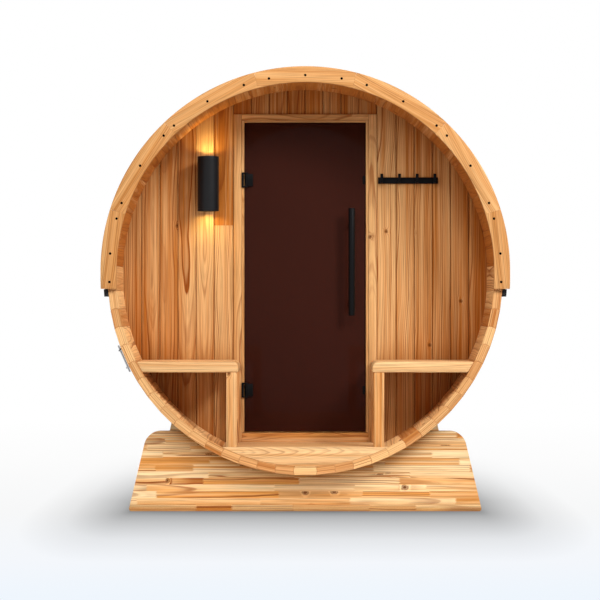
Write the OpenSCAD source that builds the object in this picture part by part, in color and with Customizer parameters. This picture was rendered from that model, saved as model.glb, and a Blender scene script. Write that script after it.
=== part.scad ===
// Barrel sauna: a horizontal timber barrel on two cradles, with an open porch, two porch
// benches and a tinted glass door. X runs to the right seen from the porch, Y runs into the
// barrel and Z is up. The origin is on the ground at the middle of the footprint.

/* [Barrel] */
// Length of the staves
barrel_len = 2438; // [1800:1:3600]
// Outside diameter of the barrel
barrel_d = 1830; // [1520:1:2300]
// Extra height of the upper half over a true circle
crown_rise = 32; // [0:1:90]
// Thickness of a stave
stave_t = 41; // [30:1:55]
// Width of the key stave at the bottom
key_stave_w = 100; // [60:1:140]
// Number of staves on each side of the key stave
side_staves = 32; // [26:1:40]
// Open joint between neighbouring staves
stave_joint = 0.3; // [0.2:0.1:0.6]
// Gap where a piece is fitted to a curved face
fit_gap = 0.3; // [0.2:0.1:0.6]

/* [Cradles] */
// Height of the barrel's underside over the ground
barrel_lift = 176; // [120:1:240]
// Height of a cradle
cradle_h = 374; // [300:1:460]
// Thickness of a cradle
cradle_t = 60; // [45:1:90]
// Width of a cradle on the ground
cradle_base_w = 1656; // [1300:1:2000]
// Width of a cradle at its top, before its corners are rounded
cradle_top_w = 1478; // [1200:1:1800]
// Radius of a cradle's upper corners
cradle_corner_r = 75; // [30:1:90]
// Radius of a cradle's lower corners
cradle_toe_r = 12; // [5:1:20]
// Distance from the barrel's end to the nearer face of a cradle
cradle_inset = 100; // [80:1:300]

/* [Steel bands] */
// Width of a band
band_w = 30; // [20:1:45]
// Thickness of a band
band_t = 1.5; // [1:0.1:2]
// Distance from the barrel's end to the middle of the nearer end band
band_inset = 55; // [30:1:75]
// Height of a tensioning lug
lug_h = 17; // [12:1:24]
// Thickness of a tensioning lug
lug_t = 8; // [5:1:12]
// Distance between the two lugs of a band
lug_span = 86; // [60:1:120]
// Place of the lugs, as an angle from the bottom of the barrel
lug_angle = 66; // [50:1:75]
// Diameter of the tensioning rod
lug_rod_d = 8; // [6:1:10]

/* [Roof] */
// Thickness of the roof covering
roof_t = 18; // [10:1:30]
// Drop of the roof's lower edge below the middle of the lower half circle
roof_skirt = 85; // [60:1:200]
// Number of staves that one roof course covers
course_staves = 2; // [2:1:4]

/* [Arches] */
// Thickness of an end arch
arch_t = 22; // [15:1:35]
// Width of an end arch
arch_w = 73; // [60:1:110]
// Drop of an arch's feet below the middle of the lower half circle
arch_drop = 51; // [10:1:58]
// Angle that one full arch board spans
arch_board_angle = 29; // [26:0.5:32]

/* [Walls and floor] */
// Depth of the porch
porch_depth = 355; // [300:1:900]
// Thickness of an end wall
wall_t = 38; // [30:1:60]
// Distance from the rear wall to the barrel's rear end
rear_inset = 60; // [20:1:150]
// Height of the floor over the lowest point inside the barrel
floor_rise = 90; // [70:1:140]
// Thickness of the floor
floor_t = 28; // [18:1:40]
// Thickness of the kickboard at the porch's front
kick_t = 28; // [18:1:40]

/* [Door frame] */
// Width of a side casing
casing_w = 39; // [25:1:70]
// Height of the casing over the door
head_w = 29.5; // [20:0.5:60]
// How far the casing stands out from the wall
casing_proud = 6; // [3:1:15]
// Width of the open rebate between casing and glass
rebate_w = 14; // [12:1:20]
// Clearance over the glass
head_gap = 11; // [6:1:20]
// Clearance under the glass
sill_gap = 6; // [5:1:12]
// Lap of the door stop behind the edge of the glass
stop_lap = 6.5; // [4:0.5:10]
// Clearance between the glass and the door stop
stop_gap = 8; // [7:1:12]

/* [Door] */
// Width of the glass
glass_w = 581; // [480:1:700]
// Height of the glass
glass_h = 1483; // [1200:1:1530]
// Thickness of the glass
glass_t = 8; // [6:1:10]
// Height of the lower edge of the glass over the floor
glass_lift = 50; // [30:1:90]
// Recess of the glass behind the face of the wall
glass_recess = 6; // [4:1:12]

/* [Hinges] */
// Height of a door clamp
clamp_h = 60; // [45:1:80]
// Height of a frame leaf
leaf_h = 71; // [60:1:95]
// Thickness of a frame leaf's plate
leaf_t = 9; // [6:1:9]
// Diameter of the hinge pin
pin_d = 8; // [6:1:10]
// Radial running clearance of the hinge pin
pin_clearance = 0.05; // [0.03:0.01:0.1]
// Wall of the knuckle round the pin
knuckle_wall = 3; // [2:0.5:4]
// Distance of the pin's axis from the edge of the glass
pin_inset = 9.5; // [8:0.5:14]
// Distance of the pin's axis in front of the glass
pin_ahead = 12; // [12:0.5:16]
// Reach of a clamp over the glass from its edge
clamp_reach = 40; // [30:1:60]
// Thickness of a front clamp plate
clamp_t = 8; // [6:1:8]
// Thickness of a back clamp plate
back_plate_t = 6; // [4:1:8]
// Distance of the lower hinge from the lower edge of the glass
lower_hinge = 199; // [100:1:300]
// Distance of the upper hinge from the upper edge of the glass
upper_hinge = 275; // [100:1:350]

/* [Handle] */
// Diameter of the handle bar
handle_d = 31; // [20:1:40]
// Length of the handle bar
handle_len = 513; // [300:1:700]
// Clear gap between the handle bar and the glass
handle_gap = 45; // [35:1:60]
// Distance of the handle from the free edge of the glass
handle_edge = 67.5; // [50:0.5:100]
// Height of the handle's middle over the lower edge of the glass
handle_mid = 814; // [600:1:1000]
// Diameter of a standoff
standoff_d = 18; // [12:1:24]
// Distance of a standoff from the end of the bar
standoff_inset = 70; // [40:1:120]
// Diameter of the washer behind the glass
washer_d = 28; // [22:1:36]
// Thickness of the washer behind the glass
washer_t = 4; // [2:1:6]

/* [Catches] */
// Width of a catch plate
catch_w = 11; // [8:1:16]
// Height of a catch plate
catch_h = 39; // [25:1:50]
// Thickness of a catch plate
catch_t = 4; // [3:1:6]
// Distance of a catch plate from the free edge of the glass
catch_edge = 2.5; // [1:0.5:6]

/* [Benches] */
// Height of the seat over the floor
seat_h = 395; // [330:1:480]
// Thickness of the seat
seat_t = 49; // [30:1:60]
// Distance of a seat's inner end from the casing's inner edge
aisle_gap = 6.5; // [4:0.5:60]
// Radius of the seat's upper inner edge
seat_edge_r = 27; // [10:1:30]
// Width of a leg
leg_w = 49; // [35:1:70]
// Depth of a leg
leg_d = 45; // [35:1:70]
// Distance of a leg from the seat's inner end
leg_inset = 6; // [0:1:20]
// Radius of a leg's upper inner corner
leg_corner_r = 8; // [3:1:12]

/* [Lamp] */
// Diameter of the lamp
lamp_d = 102; // [70:1:130]
// Height of the lamp
lamp_h = 260; // [180:1:320]
// Wall of the lamp's tube
lamp_wall = 2.5; // [2:0.5:4]
// Distance of the lamp's side from the casing
lamp_side = 67.5; // [20:0.5:120]
// Height of the lamp's middle over the floor
lamp_z = 1235; // [1100:1:1300]
// Gap between the lamp and the wall
lamp_gap = 30; // [20:1:60]
// Width of the lamp's wall plate
plate_w = 60; // [40:1:80]
// Height of the lamp's wall plate
plate_h = 110; // [80:1:160]
// Thickness of the lamp's wall plate
plate_t = 5; // [3:1:8]
// Width of the lamp's arm
arm_w = 34; // [20:1:45]
// Height of the lamp's arm
arm_h = 50; // [30:1:70]
// Depth of a lens below the end of the tube
lens_depth = 22; // [12:1:40]
// Thickness of a lens
lens_t = 4; // [3:1:8]

/* [Hook rail] */
// Distance of the rail's inner end from the casing
rail_side = 6.5; // [2:0.5:60]
// Length of the rail
rail_len = 288; // [200:1:320]
// Height of the rail
rail_h = 30; // [20:1:45]
// Thickness of the rail
rail_t = 6; // [4:1:10]
// Height of the rail's middle over the floor
rail_z = 1255; // [1150:1:1320]
// Number of hooks
hooks = 4; // [3:1:5]
// Distance of an end hook from the rail's end
hook_inset = 17; // [12:1:30]
// Width of a hook
hook_w = 14; // [10:1:20]
// Reach of a hook in front of the rail
hook_reach = 34; // [25:1:45]
// Thickness of a hook
hook_t = 8; // [5:1:10]
// Height of a hook's tip over the rail's middle
hook_tip = 31; // [24:1:40]

/* [Hidden] */
$fn = 64;

// Barrel: two half circles, the upper one lifted by crown_rise
barrel_r = barrel_d / 2;
inner_r = barrel_r - stave_t;
hub_z = barrel_lift + barrel_r;
y_front = -barrel_len / 2;
y_rear = barrel_len / 2;

// Staves: angles are measured from the bottom of the barrel
key_angle = asin(key_stave_w / 2 / barrel_r);
stave_angle = (180 - key_angle) / side_staves;
joint_angle = stave_joint / 2 / barrel_r * 180 / PI;
bottom_staves = 4;
stave_groups = 4;

// Roof: it lies on the bands
band_r = barrel_r + fit_gap;
roof_r = band_r + band_t + fit_gap;

// Levels
floor_top = barrel_lift + stave_t + floor_rise;
seat_top = floor_top + seat_h;
glass_z0 = floor_top + glass_lift;
glass_z1 = glass_z0 + glass_h;
head_z = glass_z1 + head_gap;
frame_top = head_z + head_w;
sill_top = glass_z0 - sill_gap;

// Depths
wall_front = y_front + porch_depth;
wall_back = wall_front + wall_t;
rear_back = y_rear - rear_inset;
rear_front = rear_back - wall_t;
casing_front = wall_front - casing_proud;
bench_back = casing_front;
glass_front = wall_front + glass_recess;
glass_back = glass_front + glass_t;
stop_front = glass_back + stop_gap;

// Door frame, as half widths
glass_half = glass_w / 2;
jamb_in = glass_half + rebate_w;
jamb_out = jamb_in + casing_w;
stop_in = glass_half - stop_lap;
aisle_half = jamb_in + aisle_gap;

// Hinges
pin_x = -glass_half + pin_inset;
pin_y = glass_front - pin_ahead;
knuckle_r = pin_d / 2 + pin_clearance + knuckle_wall;
hinge_levels = [glass_z0 + lower_hinge, glass_z1 - upper_hinge];
leaf_lug_t = (leaf_h - clamp_h) / 2 - fit_gap;

// Handle
handle_x = glass_half - handle_edge;
handle_y = glass_front - handle_gap - handle_d / 2;
handle_z = glass_z0 + handle_mid;
standoff_levels = [
    handle_z - handle_len / 2 + standoff_inset,
    handle_z + handle_len / 2 - standoff_inset
];

// Lamp and rail
lamp_x = jamb_out + lamp_side + lamp_d / 2;
rail_x = jamb_out + rail_side;
lamp_y = wall_front - lamp_gap - lamp_d / 2;
lamp_mid = floor_top + lamp_z;
rail_mid = floor_top + rail_z;
hook_pitch = (rail_len - 2 * hook_inset) / (hooks - 1);

timber = [0.86, 0.62, 0.36];
dark_timber = [0.74, 0.49, 0.27];
black_metal = [0.08, 0.08, 0.09];
steel = [0.62, 0.63, 0.65];

// A point of the barrel's outline at radius r and angle a from the bottom, as [x, z]
function rim(a, r) = [r * sin(a), hub_z - r * cos(a) + (a > 90 ? crown_rise : 0)];

// The angle of the joint after stave k, counted up from the key stave
function joint(k) = key_angle + k * stave_angle;

// The angle at which the outline of radius r is d below the hub
function angle_below_hub(d, r) = acos(d / r);

function flip(points) = [for (i = [len(points) - 1:-1:0]) points[i]];
function mirrored(points) = [for (p = points) [-p.x, p.y]];
function unit(v) = v / norm(v);

// The arc of radius r that rounds the corner q of the path p, q, s
function rounded(p, q, s, r, steps = 8) =
    let (
        u = unit(p - q),
        v = unit(s - q),
        half = acos(u * v) / 2,
        centre = q + unit(u + v) * r / sin(half),
        from = q + u * r / tan(half) - centre,
        to = q + v * r / tan(half) - centre,
        start = atan2(from.y, from.x),
        turn = (atan2(to.y, to.x) - start + 540) % 360 - 180
    )
    [for (i = [0:steps])
        centre + r * [cos(start + turn * i / steps), sin(start + turn * i / steps)]];

// Extrudes an [x, z] outline along Y
module along_y(y0, y1) {
    translate([0, y1, 0]) rotate([90, 0, 0]) linear_extrude(y1 - y0) children();
}

// A box given by two corners
module block(low, high) {
    translate(low) cube(high - low);
}

// Copies to both sides of the barrel, or to one side only
module on_side(side) {
    if (side < 0) mirror([1, 0, 0]) children();
    else children();
}

// The faceted inside of the barrel, less the fitting gap
module inside_outline() {
    half = [for (k = [0:side_staves]) rim(joint(k), inner_r - fit_gap)];
    polygon(concat(half, flip(mirrored(half))));
}

// The part of the inside between two heights and two distances from the middle
module inside_piece(x0, x1, z0, z1) {
    intersection() {
        inside_outline();
        translate([x0, z0]) square([x1 - x0, z1 - z0]);
    }
}

// --- Cradles ---

module cradle_outline() {
    foot = [cradle_base_w / 2, 0];
    top = [cradle_top_w / 2, cradle_h];
    half = concat(
        rounded([0, 0], foot, top, cradle_toe_r),
        rounded(foot, top, [0, cradle_h], cradle_corner_r)
    );
    difference() {
        polygon(concat(half, flip(mirrored(half))));
        translate([0, hub_z]) circle(barrel_r + fit_gap, $fn = 180);
    }
}

module cradle(y) {
    color(timber) along_y(y, y + cradle_t) cradle_outline();
}

module cradle_front() { cradle(y_front + cradle_inset); }
module cradle_rear() { cradle(y_rear - cradle_inset - cradle_t); }

// --- Staves ---

module stave(a0, a1) {
    low = a0 + joint_angle;
    high = a1 - joint_angle;
    along_y(y_front, y_rear)
        polygon([rim(low, barrel_r), rim(high, barrel_r), rim(high, inner_r), rim(low, inner_r)]);
}

// Side staves from number k0 up to, not including, number k1
module side_run(k0, k1) {
    for (k = [k0:k1 - 1]) stave(joint(k), joint(k + 1));
}

// The first stave of a group
function group_start(group) =
    bottom_staves + floor((side_staves - bottom_staves) * (group - 1) / stave_groups);

module staves_bottom() {
    color(timber) {
        stave(-key_angle, key_angle);
        for (side = [-1, 1]) on_side(side) side_run(0, bottom_staves);
    }
}

module staves(side, group) {
    color(group % 2 == 0 ? timber : dark_timber)
        on_side(side) side_run(group_start(group), group_start(group + 1));
}

// --- Steel bands ---

module ring_outline(r) {
    half = [for (k = [0:side_staves]) rim(joint(k), r)];
    polygon(concat(half, flip(mirrored(half))));
}

// A lug stands on the band, and its rod runs along the barrel's tangent
module tensioner(y) {
    half_angle = lug_span / 2 / barrel_r * 180 / PI;
    rod_len = lug_span + 6 * lug_t;
    for (a = [lug_angle - half_angle, lug_angle + half_angle])
        translate([0, y, hub_z]) rotate([0, a, 0])
            translate([-lug_t / 2, -band_w / 2, -band_r - lug_h])
                cube([lug_t, band_w, lug_h]);
    translate([0, y, hub_z]) rotate([0, lug_angle, 0])
        translate([-rod_len / 2, 0, -band_r - lug_h / 2]) rotate([0, 90, 0])
            cylinder(d = lug_rod_d, h = rod_len, $fn = 24);
}

module band(y) {
    color(steel) union() {
        along_y(y - band_w / 2, y + band_w / 2) difference() {
            ring_outline(band_r + band_t);
            ring_outline(band_r);
        }
        tensioner(y);
    }
}

module band_front() { band(y_front + band_inset); }
module band_middle() { band(0); }
module band_rear() { band(y_rear - band_inset); }

// --- Roof ---

// One course follows the staves from angle a0 to joint k1
module roof_course(a0, k0, k1) {
    angles = concat([a0], [for (k = [k0:k1]) joint(k) - (k == k1 ? joint_angle : 0)]);
    outer = [for (a = angles) rim(a, roof_r + roof_t)];
    inner = [for (a = angles) rim(a, roof_r)];
    along_y(y_front, y_rear) polygon(concat(outer, flip(inner)));
}

module roof(side) {
    skirt_angle = angle_below_hub(roof_skirt, roof_r);
    first = floor((skirt_angle - key_angle) / stave_angle) + 1;
    courses = floor((side_staves - first) / course_staves);
    color(black_metal) on_side(side)
        for (c = [0:courses - 1]) {
            k1 = side_staves - (courses - 1 - c) * course_staves;
            k0 = c == 0 ? first : k1 - course_staves + 1;
            roof_course(c == 0 ? skirt_angle : joint(k0 - 1) + joint_angle, k0, k1);
        }
}

// --- Arches ---

// The angles of n steps from a0 to a1
function steps(a0, a1, n) = [for (i = [0:n]) a0 + (a1 - a0) * i / n];

// Boards over the top lie in equal angles, and the lowest board of each side ends level
module arch(y0) {
    outer_r = inner_r + arch_w;
    half_board = arch_board_angle / 2;
    foot_outer = angle_below_hub(arch_drop, outer_r);
    foot_inner = angle_below_hub(arch_drop, inner_r);
    pieces = 12;
    color(timber) along_y(y0, y0 + arch_t) {
        for (mid = [-2:2]) {
            a = steps(
                180 + mid * arch_board_angle - half_board + joint_angle,
                180 + mid * arch_board_angle + half_board - joint_angle, pieces
            );
            polygon(concat([for (t = a) crown(t, outer_r)], flip([for (t = a) crown(t, inner_r)])));
        }
        for (side = [-1, 1]) mirror([side < 0 ? 1 : 0, 0]) {
            top = 180 - 2.5 * arch_board_angle - joint_angle;
            polygon(concat(
                [for (t = steps(foot_outer, top, pieces)) rim(t, outer_r)],
                flip([for (t = steps(foot_inner, top, pieces)) rim(t, inner_r)])
            ));
        }
    }
}

// A point of the upper half's circle, carried on past the top
function crown(a, r) = [r * sin(a), hub_z + crown_rise - r * cos(a)];

module arch_front() { arch(y_front - arch_t); }
module arch_rear() { arch(y_rear); }

// --- End walls ---

module front_wall_side(side) {
    color(dark_timber) on_side(side) along_y(wall_front, wall_back)
        inside_piece(jamb_out + fit_gap, inner_r, 0, hub_z + barrel_d);
}

module front_wall_over_door() {
    color(dark_timber) along_y(wall_front, wall_back)
        inside_piece(-jamb_out, jamb_out, frame_top + fit_gap, hub_z + barrel_d);
}

module front_wall_under_door() {
    color(dark_timber) along_y(wall_front, wall_back)
        inside_piece(-jamb_out, jamb_out, 0, floor_top);
}

module rear_wall() {
    color(dark_timber) along_y(rear_front, rear_back) inside_outline();
}

// --- Door frame ---

// A casing with a stop behind the glass, kept inside the barrel
module jamb(side) {
    color(timber) on_side(side) intersection() {
        translate([0, 0, floor_top + fit_gap])
            linear_extrude(frame_top - floor_top - fit_gap)
                polygon([
                    [jamb_in, casing_front], [jamb_out, casing_front], [jamb_out, wall_back],
                    [stop_in, wall_back], [stop_in, stop_front], [jamb_in, stop_front]
                ]);
        along_y(casing_front, wall_back) inside_outline();
    }
}

// A rail between the jambs' casings, with its stop between their stops
module frame_rail(z0, z1, stop_z0, stop_z1) {
    color(timber) union() {
        block([-jamb_in + fit_gap, casing_front, z0], [jamb_in - fit_gap, stop_front - fit_gap, z1]);
        block([-stop_in + fit_gap, stop_front - 2 * fit_gap, min(z0, stop_z0)],
              [stop_in - fit_gap, wall_back, max(z1, stop_z1)]);
    }
}

module door_head() { frame_rail(head_z, frame_top, glass_z1 - stop_lap, frame_top); }
module door_sill() {
    frame_rail(floor_top + fit_gap, sill_top, floor_top + fit_gap, glass_z0 + stop_lap);
}

// --- Door ---

module door_glass() {
    color([0.2, 0.1, 0.08, 0.8])
        block([-glass_half, glass_front, glass_z0], [glass_half, glass_back, glass_z1]);
}

module door_handle() {
    color(black_metal) translate([handle_x, handle_y, handle_z - handle_len / 2])
        cylinder(d = handle_d, h = handle_len);
}

// Each standoff meets the bar in a saddle, and its washer lies behind the glass
module handle_standoffs() {
    color(black_metal) for (z = standoff_levels) {
        difference() {
            translate([handle_x, glass_front, z]) rotate([90, 0, 0])
                cylinder(d = standoff_d, h = glass_front - handle_y);
            translate([handle_x, handle_y, z - standoff_d])
                cylinder(d = handle_d + 2 * fit_gap, h = 2 * standoff_d);
        }
        translate([handle_x, glass_back + washer_t, z]) rotate([90, 0, 0])
            cylinder(d = washer_d, h = washer_t);
    }
}

// A leaf is screwed into the rebate, and its two lugs hold the pin
module hinge_leaves() {
    lug_x = pin_x + knuckle_r;
    color(black_metal) for (z = hinge_levels) translate([0, 0, z]) union() {
        block([-jamb_in, pin_y - knuckle_r, -leaf_h / 2],
              [-jamb_in + leaf_t, stop_front, leaf_h / 2]);
        for (side = [-1, 1])
            translate([-jamb_in, pin_y - knuckle_r,
                       side * (leaf_h - leaf_lug_t) / 2 - leaf_lug_t / 2])
                cube([lug_x + jamb_in, 2 * knuckle_r, leaf_lug_t]);
        translate([pin_x, pin_y, -leaf_h / 2]) cylinder(d = pin_d, h = leaf_h);
    }
}

// The front plate carries the knuckle, and the back plate grips the glass
module hinge_clamps() {
    clamp_x = -glass_half + clamp_reach;
    color(black_metal) for (z = hinge_levels) translate([0, 0, z - clamp_h / 2]) {
        difference() {
            union() {
                translate([pin_x, pin_y, 0]) cylinder(r = knuckle_r, h = clamp_h);
                block([pin_x, glass_front - clamp_t, 0], [clamp_x, glass_front, clamp_h]);
            }
            translate([pin_x, pin_y, -1]) cylinder(r = pin_d / 2 + pin_clearance, h = clamp_h + 2);
        }
        block([pin_x + knuckle_r, glass_back, 0], [clamp_x, glass_back + back_plate_t, clamp_h]);
    }
}

module door_catches() {
    catch_x = glass_half - catch_edge;
    color(black_metal) for (z = hinge_levels)
        block([catch_x - catch_w, glass_front - catch_t, z - catch_h / 2],
              [catch_x, glass_front, z + catch_h / 2]);
}

// --- Floors ---

module floor_slab(y0, y1) {
    color(timber) along_y(y0, y1)
        inside_piece(-inner_r, inner_r, floor_top - floor_t, floor_top);
}

module porch_floor() { floor_slab(y_front + kick_t, wall_front); }
module cabin_floor() { floor_slab(wall_back, rear_front); }

module porch_kickboard() {
    color(timber) along_y(y_front, y_front + kick_t)
        inside_piece(-inner_r, inner_r, 0, floor_top);
}

// --- Benches ---

module bench_seat(side) {
    corner = [aisle_half, seat_top];
    color(timber) on_side(side) along_y(y_front, bench_back) intersection() {
        inside_outline();
        polygon(concat(
            rounded([aisle_half, 0], corner, [barrel_r, seat_top], seat_edge_r),
            [[barrel_r, seat_top], [barrel_r, seat_top - seat_t], [aisle_half, seat_top - seat_t]]
        ));
    }
}

// A front leg and a rear leg, cut to the staves where a leg stands wide of the floor
module bench_legs(side) {
    x0 = aisle_half + leg_inset;
    z1 = seat_top - seat_t;
    color(timber) on_side(side)
        for (y = [y_front, bench_back - leg_d]) along_y(y, y + leg_d)
            intersection() {
                polygon(concat(
                    [[x0 + leg_w, floor_top], [x0 + leg_w, z1]],
                    rounded([x0 + leg_w, z1], [x0, z1], [x0, floor_top], leg_corner_r),
                    [[x0, floor_top]]
                ));
                inside_outline();
            }
}

// --- Lamp ---

module wall_lamp() {
    color(black_metal) translate([-lamp_x, lamp_y, lamp_mid - lamp_h / 2]) difference() {
        cylinder(d = lamp_d, h = lamp_h);
        translate([0, 0, -1]) cylinder(d = lamp_d - 2 * lamp_wall, h = lamp_h + 2);
    }
}

module lamp_bracket() {
    color(black_metal) difference() {
        union() {
            block([-lamp_x - plate_w / 2, wall_front - plate_t, lamp_mid - plate_h / 2],
                  [-lamp_x + plate_w / 2, wall_front, lamp_mid + plate_h / 2]);
            block([-lamp_x - arm_w / 2, lamp_y, lamp_mid - arm_h / 2],
                  [-lamp_x + arm_w / 2, wall_front, lamp_mid + arm_h / 2]);
        }
        translate([-lamp_x, lamp_y, lamp_mid - lamp_h / 2])
            cylinder(d = lamp_d + 2 * fit_gap, h = lamp_h);
    }
}

module lamp_lenses() {
    color([1, 0.9, 0.7]) translate([-lamp_x, lamp_y, lamp_mid])
        for (z = [-lamp_h / 2 + lens_depth, lamp_h / 2 - lens_depth - lens_t])
            translate([0, 0, z]) cylinder(d = lamp_d - 2 * lamp_wall - 2 * fit_gap, h = lens_t);
}

// --- Hook rail ---

module hook_rail() {
    color(black_metal)
        block([rail_x, wall_front - rail_t, rail_mid - rail_h / 2],
              [rail_x + rail_len, wall_front, rail_mid + rail_h / 2]);
}

// Each hook reaches out from the rail and turns up at its tip
module coat_hooks() {
    face = wall_front - rail_t;
    color(black_metal) for (i = [0:hooks - 1])
        translate([rail_x + hook_inset + i * hook_pitch, face, rail_mid]) union() {
            block([-hook_w / 2, -hook_reach, -rail_h / 2 + hook_t / 2],
                  [hook_w / 2, 0, -rail_h / 2 + 1.5 * hook_t]);
            block([-hook_w / 2, -hook_reach, -rail_h / 2 + hook_t / 2],
                  [hook_w / 2, -hook_reach + hook_t, hook_tip]);
        }
}

cradle_front();
cradle_rear();
staves_bottom();
staves(-1, 1);  // staves_left_1
staves(-1, 2);  // staves_left_2
staves(-1, 3);  // staves_left_3
staves(-1, 4);  // staves_left_4
staves(1, 1);  // staves_right_1
staves(1, 2);  // staves_right_2
staves(1, 3);  // staves_right_3
staves(1, 4);  // staves_right_4
band_front();
band_middle();
band_rear();
roof(-1);  // roof_left
roof(1);  // roof_right
arch_front();
arch_rear();
front_wall_side(-1);  // front_wall_left
front_wall_side(1);  // front_wall_right
front_wall_over_door();
front_wall_under_door();
rear_wall();
jamb(-1);  // door_jamb_left
jamb(1);  // door_jamb_right
door_head();
door_sill();
door_glass();
door_handle();
handle_standoffs();
hinge_leaves();
hinge_clamps();
door_catches();
porch_floor();
porch_kickboard();
cabin_floor();
bench_seat(-1);  // bench_seat_left
bench_seat(1);  // bench_seat_right
bench_legs(-1);  // bench_legs_left
bench_legs(1);  // bench_legs_right
wall_lamp();
lamp_bracket();
lamp_lenses();
hook_rail();
coat_hooks();
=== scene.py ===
import random
from math import acos, ceil, cos, pi, radians, sin, sqrt

import bmesh
import bpy
import numpy as np
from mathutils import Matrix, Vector

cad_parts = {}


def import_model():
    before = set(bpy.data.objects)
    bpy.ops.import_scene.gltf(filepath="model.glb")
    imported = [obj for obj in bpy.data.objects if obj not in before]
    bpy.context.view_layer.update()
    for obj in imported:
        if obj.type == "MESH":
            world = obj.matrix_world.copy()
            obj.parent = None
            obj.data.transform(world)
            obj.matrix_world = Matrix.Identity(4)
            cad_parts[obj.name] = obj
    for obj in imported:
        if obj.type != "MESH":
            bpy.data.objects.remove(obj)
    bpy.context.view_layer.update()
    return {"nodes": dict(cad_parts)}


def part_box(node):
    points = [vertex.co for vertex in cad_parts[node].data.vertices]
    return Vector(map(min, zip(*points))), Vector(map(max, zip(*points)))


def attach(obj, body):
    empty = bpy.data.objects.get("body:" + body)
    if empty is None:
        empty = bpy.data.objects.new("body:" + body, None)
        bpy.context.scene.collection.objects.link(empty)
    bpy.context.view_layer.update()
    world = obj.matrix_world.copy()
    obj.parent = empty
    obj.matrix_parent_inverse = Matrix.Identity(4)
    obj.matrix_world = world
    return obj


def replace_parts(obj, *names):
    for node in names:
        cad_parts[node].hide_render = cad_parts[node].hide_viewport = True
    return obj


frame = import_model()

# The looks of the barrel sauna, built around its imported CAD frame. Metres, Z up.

MM = 0.001

# ---- sizes of the looks

STAVE_EDGE = 2.5 * MM      # rounding of a stave's long edges
STAVE_BEAD = 5 * MM        # height of the bead that fits the next stave's cove
STAVE_END = 2 * MM         # chamfer of a stave's ends
BOARD_PITCH = 87 * MM      # cover width of a wall board
BOARD_FIRST = 350 * MM     # first joint of the wall boards beside the door
BOARD_V = 3.0 * MM         # depth of the V joint between wall boards
BOARD_GAP = 0.5 * MM       # half width of the groove at the bottom of the V
BOARD_CLEAR = 0.3 * MM     # clearance on each side of a wall board
CROZE = 6 * MM             # depth of the groove in the staves that holds an end wall
PLANK_W = 92 * MM          # about the width of a floor or bench board
FLOOR_GAP = 4 * MM
BENCH_GAP = 6 * MM
BEAD_CLEAR = 2 * MM        # from the edge of the glass to the bead beside it
STRIP_H = 31 * MM          # height of a strip in a cradle's glued panel
FINGER = 5 * MM            # half length of a finger joint
FINGER_TEETH = 5
ARCH_EDGE = 2 * MM
SHINGLE_T = 4.5 * MM
SHINGLE_RISE = 143 * MM    # exposed height of a shingle course
SHINGLE_TAB = 330 * MM
SHINGLE_SLOT = 5 * MM      # gap between two tabs
SHINGLE_LAP = 30 * MM      # how far a shingle goes under the next course
RIDGE_CAP = 150 * MM       # length of a ridge cap
RIDGE_REACH = 130 * MM     # how far a cap comes down on each side
EAVES_BAR = 34 * MM        # height of the thicker bar along the eaves
SCREW_R = 6 * MM
SCREW_SIDES = 20
SHARP_FOLD = 0.6           # radians: a sharper fold of a CAD solid gets a rounded edge

# ---- geometry helpers


def solids(node):
    """The vertices of each separate solid of a CAD node."""
    mesh = frame["nodes"][node].data
    points = np.array([v.co for v in mesh.vertices])
    keys, index = np.unique(points.round(6), axis=0, return_inverse=True)
    index = index.ravel()
    parent = list(range(len(keys)))

    def find(a):
        while parent[a] != a:
            parent[a] = parent[parent[a]]
            a = parent[a]
        return a

    for polygon in mesh.polygons:
        first = find(index[polygon.vertices[0]])
        for v in polygon.vertices[1:]:
            parent[find(index[v])] = first
    groups = {}
    for i in range(len(keys)):
        groups.setdefault(find(i), []).append(keys[i])
    return [np.array(g) for g in groups.values()]


def place_object(name, data):
    """A new object in the scene."""
    obj = bpy.data.objects.new(name, data)
    bpy.context.scene.collection.objects.link(obj)
    return obj


def make_object(name, mesh, material, body="root", sharp=35):
    """Puts a mesh into the scene as a piece that rides on a body."""
    mesh.materials.append(material)
    mesh.shade_smooth()
    mesh.set_sharp_from_angle(angle=radians(sharp))
    obj = place_object(name, mesh)
    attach(obj, body)
    return obj


def clean_copy(node, bevel):
    """A bmesh of a CAD node with its triangles joined to flat faces and its edges rounded."""
    mesh = bmesh.new()
    mesh.from_mesh(frame["nodes"][node].data)
    bmesh.ops.remove_doubles(mesh, verts=mesh.verts, dist=1e-5)
    bmesh.ops.dissolve_limit(mesh, angle_limit=radians(1), verts=mesh.verts,
                             edges=mesh.edges)
    folds = [e for e in mesh.edges
             if len(e.link_faces) == 2 and e.calc_face_angle(0) > SHARP_FOLD]
    bmesh.ops.bevel(mesh, geom=folds, offset=bevel, offset_type="OFFSET", segments=2,
                    profile=0.5, affect="EDGES", clamp_overlap=True)
    return mesh


def to_mesh(name, built):
    """Turns a bmesh into a mesh and frees it."""
    mesh = bpy.data.meshes.new(name)
    built.to_mesh(mesh)
    built.free()
    return mesh


def metal_copy(node, material, bevel, body="root"):
    """A CAD node in metal with softened edges."""
    mesh = to_mesh(node, clean_copy(node, bevel))
    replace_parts(make_object(node + "_finish", mesh, material, body), node)


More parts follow.
